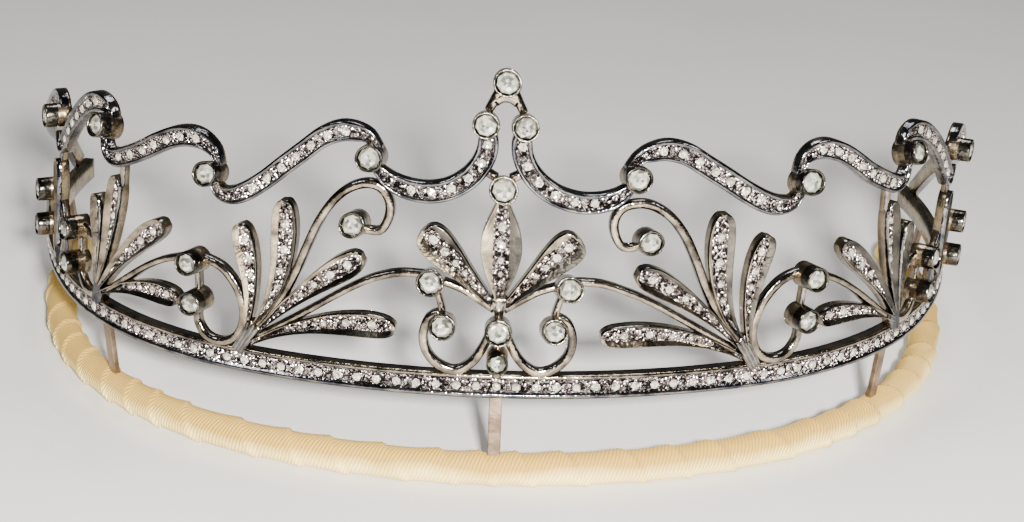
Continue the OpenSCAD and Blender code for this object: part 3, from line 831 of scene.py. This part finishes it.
work = bmesh.new()
ribbon_spots = []
for table, start, end in RIBBON_STONES:
    rows = raised(table)
    length = length_of(rows)
    distance = start * length
    while distance <= end * length:
        ribbon_spots.append(walk(rows, distance))
        distance += small_pitch
for spot, _ in ribbon_spots:
    for hand in (1, -1):
        small_rose(work, hand * spot.x, spot.y, ribbon_seat)
ribbon_roses = finished(work, "ribbon_roses", (small_stone,))
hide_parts("ribbon_stones")

work = bmesh.new()
wave_5 = raised(WAVE_5)
rear_spots = [walk(wave_5, rear_start * length_of(wave_5) + k * small_pitch) for k in range(rear_count)]
for spot, _ in rear_spots:
    for hand in (1, -1):
        small_rose(work, hand * spot.x, spot.y, ribbon_seat)
leaf_spots = []
for row in LEAVES + (CENTRE_LEAF,):
    for t, width in LEAF_STONES:
        along, up = leaf_axis(row, t + centre_shift if row is CENTRE_LEAF else t)
        leaf_spots.append((along, up + rail_height, width * min(leaf_stone_limit, row[6])))
for along, up, width in leaf_spots:
    for hand in both_sides(along):
        cut_rose(work, hand * along, up, leaf_seat, width, leaf_stone_height,
                 dice.uniform(0, math.pi), small_sides)
finished(work, "leaf_roses", (small_stone,))

# Grains. Tiny beads of silver pushed up between the small stones, polished by wear, that give
# the beds their sparkle.
grain = worn_metal("grain", (0.24, 0.21, 0.205), (0.84, 0.77, 0.75), 0.13)
# grains round a stone: columns are share of the stones' pitch ahead, share of the reach across
GRAIN_PLACES = ((-0.5, -1), (-0.5, -0.33), (-0.5, 0.33), (-0.5, 1), (-0.27, -1), (-0.27, 1),
                (0.27, -1), (0.27, 1), (0.5, -1), (0.5, -0.33), (0.5, 0.33), (0.5, 1))
rail_reach = 0.85
ribbon_reach = 0.68
rail_grain_seat = -0.12
ribbon_grain_seat = 0.34
grain_sizes = (0.13, 0.2)
grain_shift = 0.06
leaf_grain_sizes = (0.1, 0.15)
leaf_grain_count = 9
leaf_grain_gap = 0.14
leaf_grain_shift = 0.2


def strew(work, along, up, out, radius):
    bmesh.ops.create_icosphere(work, subdivisions=1, radius=radius,
                               matrix=Matrix.Translation((along, up, out)))


def grains_round(work, spot, way, reach, out):
    """Grains along both rims beside a stone, and between it and the next stones."""
    side = Vector((-way.y, way.x))
    for ahead, across in GRAIN_PLACES:
        shift = Vector((dice.uniform(-grain_shift, grain_shift), dice.uniform(-grain_shift, grain_shift)))
        point = spot + way * ahead * small_pitch + side * across * reach + shift
        strew(work, point.x, point.y, out, dice.uniform(*grain_sizes))


work = bmesh.new()
for along in rail_spots:
    grains_round(work, Vector((along, rail_height / 2)), Vector((1, 0)), rail_reach, rail_grain_seat)
finished(work, "rail_grains", (grain,))
work = bmesh.new()
for spot, way in ribbon_spots + rear_spots:
    for hand in (1, -1):
        centre = Vector((hand * spot.x, spot.y))
        heading = Vector((hand * way.x, way.y))
        grains_round(work, centre, heading, ribbon_reach, ribbon_grain_seat)
finished(work, "ribbon_grains", (grain,))
work = bmesh.new()
for along, up, width in leaf_spots:
    for hand in both_sides(along):
        for k in range(leaf_grain_count):
            shift = dice.uniform(-leaf_grain_shift, leaf_grain_shift)
            angle = k * math.pi * 2 / leaf_grain_count + shift
            reach = width / 2 + leaf_grain_gap
            strew(work, hand * along + reach * math.cos(angle), up + reach * math.sin(angle),
                  leaf_seat, dice.uniform(*leaf_grain_sizes))
finished(work, "leaf_grains", (grain,))

# Base ring. A wire horseshoe bound with ribbed silk ribbon, wound on the slant with its edges
# lapped, cream where clean and stained tan in patches along the top.
ring_radius = 2.05
ring_height = 1.93
ring_half = 127.2
ribbon_thickness = 0.08
lap_pitch = 6.6
lap_rise = 0.42
lap_edge = 0.94
lap_full = 0.83
# the turns aren't even: columns are share of a turn, millimetres along the ring for its waves
LAP_WAVES = ((0.16, 4.1), (0.2, 9.7))
around = 28
rings = 900
seam_gap = 1e-6

silk, nodes, links = new_material("silk_ribbon")
shader = nodes["Principled BSDF"]
shader.inputs["Roughness"].default_value = 0.78
shader.inputs["Sheen Weight"].default_value = 0.2
shader.inputs["Sheen Tint"].default_value = (1, 0.80, 0.42, 1)
place = nodes.new("ShaderNodeTexCoord")
slant = nodes.new("ShaderNodeMapping")
slant.inputs["Rotation"].default_value = (0, 0, math.radians(22))
ribs = nodes.new("ShaderNodeTexWave")
ribs.bands_direction = "X"
ribs.inputs["Scale"].default_value = 660
ribs.inputs["Distortion"].default_value = 3
ribs.inputs["Detail"].default_value = 3
ribs.inputs["Detail Scale"].default_value = 0.6
links.new(place.outputs["UV"], slant.inputs["Vector"])
links.new(slant.outputs["Vector"], ribs.inputs["Vector"])
level = nodes.new("ShaderNodeSeparateXYZ")
links.new(place.outputs["Object"], level.inputs["Vector"])
stain = nodes.new("ShaderNodeMapRange")
stain.inputs["From Min"].default_value = 0.0014
stain.inputs["From Max"].default_value = 0.0040
links.new(level.outputs["Z"], stain.inputs["Value"])
patchy = nodes.new("ShaderNodeMath")
patchy.operation = "MULTIPLY_ADD"
patchy.inputs[1].default_value = 0.75
links.new(stain.outputs["Result"], patchy.inputs[0])
links.new(clouds(silk, 75, 5), patchy.inputs[2])
cream = toned(silk, patchy.outputs["Value"], (0.45, (1, 0.79, 0.27)), (1, (0.46, 0.27, 0.035)))
groove = nodes.new("ShaderNodeMix")
groove.data_type = "RGBA"
groove.blend_type = "MULTIPLY"
groove.inputs["Factor"].default_value = 0.3
links.new(cream, groove.inputs["A"])
links.new(ribs.outputs["Color"], groove.inputs["B"])
links.new(groove.outputs["Result"], shader.inputs["Base Color"])
relief = nodes.new("ShaderNodeBump")
relief.inputs["Strength"].default_value = 0.6
relief.inputs["Distance"].default_value = 0.0002
links.new(ribs.outputs["Fac"], relief.inputs["Height"])
links.new(relief.outputs["Normal"], shader.inputs["Normal"])


def unrolled(spot):
    """Where a point of the flat grid lies on the ring: how far along it, and its angle round it."""
    return spot.x * 2 * ring_half, (spot.y + 0.5) * 2 * math.pi


def lap(along, angle):
    """Height of the ribbon's lap. It climbs over the turn below and drops at its own edge."""
    uneven = sum(share * math.sin(along / length) for share, length in LAP_WAVES)
    phase = (along / lap_pitch + uneven + angle / (2 * math.pi)) % 1
    return lap_rise * (phase ** 3 if phase < lap_edge else lap_full * (1 - phase) / (1 - lap_edge))


work = bmesh.new()
bmesh.ops.create_grid(work, x_segments=rings, y_segments=around, size=0.5)
uv = work.loops.layers.uv.new("UVMap")
for face in work.faces:
    face.smooth = True
    for loop in face.loops:
        along, angle = unrolled(loop.vert.co)
        loop[uv].uv = (along * MM, angle * ring_radius * MM)
for vert in work.verts:
    along, angle = unrolled(vert.co)
    hand = -1 if along < 0 else 1
    heading = heading_at(ring_arcs, abs(along))
    radius = ring_radius + ribbon_thickness + lap(along, angle)
    spot = plan_point(ring_arcs, heading, radius * math.cos(angle))
    height = max(0, ring_height + radius * math.sin(angle))
    vert.co = Vector((hand * spot.x, spot.y, height)) * MM
bmesh.ops.remove_doubles(work, verts=work.verts, dist=seam_gap)
bmesh.ops.holes_fill(work, edges=[edge for edge in work.edges if edge.is_boundary], sides=0)
bound_ring = finished(work, "bound_ring", (silk,), flat=False)
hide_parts("base_ring")

size = {"cad": [list(corner) for corner in cad_box], "visual": [list(corner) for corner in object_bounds()]}
